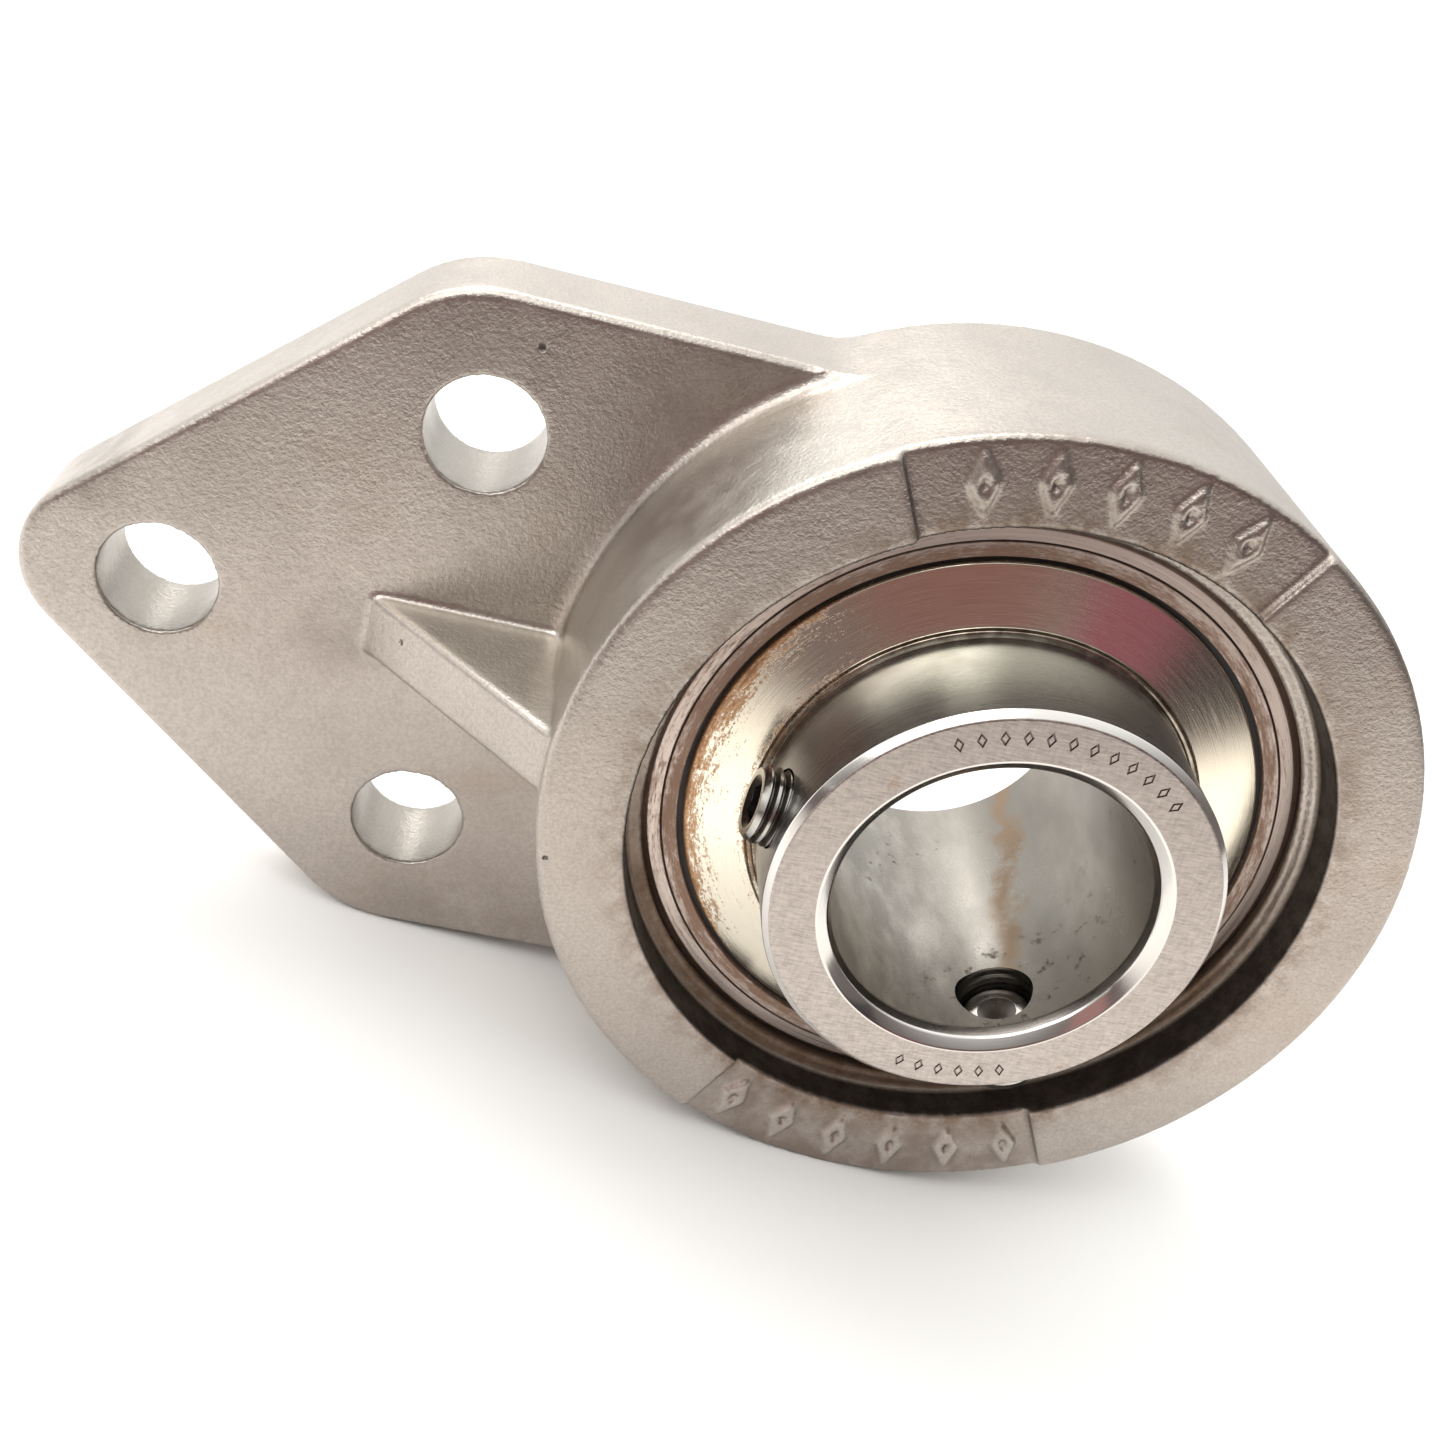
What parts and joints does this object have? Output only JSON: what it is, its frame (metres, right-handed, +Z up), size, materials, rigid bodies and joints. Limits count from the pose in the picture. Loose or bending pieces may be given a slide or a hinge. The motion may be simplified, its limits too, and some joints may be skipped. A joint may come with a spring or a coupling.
{
  "type": "three-bolt flange bracket bearing",
  "caption": "Cast stainless flange bracket housing with a self-aligning ball bearing insert, extended inner ring, set screws and sealed, relubricable raceway.",
  "frame": {"origin": "swivel centre of the insert: where the shaft axis crosses the middle plane of the balls", "axes": "+Y along the shaft axis towards the mounting face, so the nose of the inner ring points to -Y; the flange reaches towards -X; +Z up"},
  "size_m": [0.154, 0.0433, 0.0906],
  "materials": {
    "cast_stainless": "bead-blasted cast stainless steel",
    "ground_steel": "ground stainless bearing steel",
    "ball_steel": "polished stainless steel",
    "pressed_steel": "pressed stainless sheet",
    "polished_pressing": "polished pressed stainless, stained",
    "seal_rubber": "black nitrile rubber",
    "screw_steel": "dark stainless screw",
    "nipple_steel": "turned stainless",
    "spring_steel": "drawn wire"
  },
  "bodies": {
    "housing": {"housing": "cast_stainless", "grease_nipple": "nipple_steel", "grease_nipple_spring": "spring_steel"},
    "outer_ring": {"outer_ring": "ground_steel", "seal_shield_front": "pressed_steel", "seal_rubber_front": "seal_rubber", "seal_shield_rear": "pressed_steel", "seal_rubber_rear": "seal_rubber"},
    "inner_ring": {"inner_ring": "ground_steel", "flinger_front": "polished_pressing", "flinger_rear": "polished_pressing"},
    "cage": {"cage_front": "pressed_steel", "cage_rear": "pressed_steel", "cage_rivets": "pressed_steel"},
    "ball_1": {"ball_1": "ball_steel"},
    "ball_2": {"ball_2": "ball_steel"},
    "ball_3": {"ball_3": "ball_steel"},
    "ball_4": {"ball_4": "ball_steel"},
    "ball_5": {"ball_5": "ball_steel"},
    "ball_6": {"ball_6": "ball_steel"},
    "ball_7": {"ball_7": "ball_steel"},
    "ball_8": {"ball_8": "ball_steel"},
    "ball_9": {"ball_9": "ball_steel"},
    "set_screw_1": {"set_screw_1": "screw_steel"},
    "set_screw_2": {"set_screw_2": "screw_steel"},
    "grease_nipple_ball": {"grease_nipple_ball": "ball_steel"}
  },
  "joints": [
    {"name": "insert_swivel", "type": "hinge", "parent": "housing", "child": "outer_ring", "pos_m": [0, 0, 0], "axis": [0, 0, 1], "range_deg": [-2, 2]},
    {"name": "shaft_spin", "type": "hinge", "parent": "outer_ring", "child": "inner_ring", "pos_m": [0, 0, 0], "axis": [0, 1, 0], "continuous": true},
    {"name": "cage_spin", "type": "hinge", "parent": "outer_ring", "child": "cage", "pos_m": [0, 0, 0], "axis": [0, 1, 0], "continuous": true},
    {"name": "ball_1_spin", "type": "hinge", "parent": "cage", "child": "ball_1", "pos_m": [0, 0, 0.02675], "axis": [0, 1, 0], "continuous": true},
    {"name": "ball_2_spin", "type": "hinge", "parent": "cage", "child": "ball_2", "pos_m": [-0.01719, 0, 0.02049], "axis": [0, 1, 0], "continuous": true},
    {"name": "ball_3_spin", "type": "hinge", "parent": "cage", "child": "ball_3", "pos_m": [-0.02634, 0, 0.00465], "axis": [0, 1, 0], "continuous": true},
    {"name": "ball_4_spin", "type": "hinge", "parent": "cage", "child": "ball_4", "pos_m": [-0.02317, 0, -0.01337], "axis": [0, 1, 0], "continuous": true},
    {"name": "ball_5_spin", "type": "hinge", "parent": "cage", "child": "ball_5", "pos_m": [-0.00915, 0, -0.02514], "axis": [0, 1, 0], "continuous": true},
    {"name": "ball_6_spin", "type": "hinge", "parent": "cage", "child": "ball_6", "pos_m": [0.00915, 0, -0.02514], "axis": [0, 1, 0], "continuous": true},
    {"name": "ball_7_spin", "type": "hinge", "parent": "cage", "child": "ball_7", "pos_m": [0.02317, 0, -0.01337], "axis": [0, 1, 0], "continuous": true},
    {"name": "ball_8_spin", "type": "hinge", "parent": "cage", "child": "ball_8", "pos_m": [0.02634, 0, 0.00465], "axis": [0, 1, 0], "continuous": true},
    {"name": "ball_9_spin", "type": "hinge", "parent": "cage", "child": "ball_9", "pos_m": [0.01719, 0, 0.02049], "axis": [0, 1, 0], "continuous": true},
    {"name": "set_screw_1_travel", "type": "slide", "parent": "inner_ring", "child": "set_screw_1", "axis": [-0.9938, 0, 0.1115], "range_m": [-0.0012, 0.0025]},
    {"name": "set_screw_2_travel", "type": "slide", "parent": "inner_ring", "child": "set_screw_2", "axis": [0.4003, 0, -0.9164], "range_m": [-0.0024, 0.0015]},
    {"name": "grease_ball_travel", "type": "slide", "parent": "housing", "child": "grease_nipple_ball", "axis": [-1, 0, 0], "range_m": [0, 0.0007], "stiffness_N_per_m": 300, "springref_m": -0.0007, "deforming": ["grease_nipple_spring"]}
  ],
  "couplings": [
    {"joint": "cage_spin", "follows": "shaft_spin", "ratio": 0.39615},
    {"joint": "ball_1_spin", "follows": "shaft_spin", "ratio": -2.3035},
    {"joint": "ball_2_spin", "follows": "shaft_spin", "ratio": -2.3035},
    {"joint": "ball_3_spin", "follows": "shaft_spin", "ratio": -2.3035},
    {"joint": "ball_4_spin", "follows": "shaft_spin", "ratio": -2.3035},
    {"joint": "ball_5_spin", "follows": "shaft_spin", "ratio": -2.3035},
    {"joint": "ball_6_spin", "follows": "shaft_spin", "ratio": -2.3035},
    {"joint": "ball_7_spin", "follows": "shaft_spin", "ratio": -2.3035},
    {"joint": "ball_8_spin", "follows": "shaft_spin", "ratio": -2.3035},
    {"joint": "ball_9_spin", "follows": "shaft_spin", "ratio": -2.3035}
  ]
}
